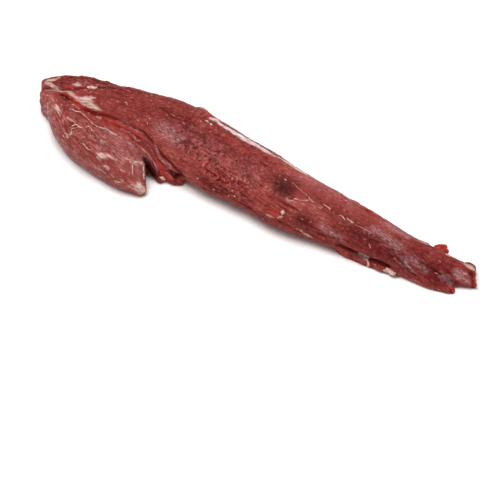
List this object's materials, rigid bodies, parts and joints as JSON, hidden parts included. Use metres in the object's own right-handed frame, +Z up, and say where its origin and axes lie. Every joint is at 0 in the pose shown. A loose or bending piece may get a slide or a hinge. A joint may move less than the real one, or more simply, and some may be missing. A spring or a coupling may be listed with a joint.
{
  "type": "beef tenderloin",
  "caption": "Whole peeled beef tenderloin lying on its flat side: thick head with a side muscle, a narrowing middle and a thin split tail.",
  "frame": {"origin": "middle of the piece in plan, on the plane of the board that it lies on", "axes": "+X along the length towards the thin tail, +Y towards the side without the side muscle, +Z up"},
  "size_m": [0.5738, 0.1336, 0.0652],
  "materials": {
    "meat": "moist raw lean meat with traces of silverskin and fat"
  },
  "bodies": {
    "root": {"tenderloin": "meat"}
  },
  "joints": []
}
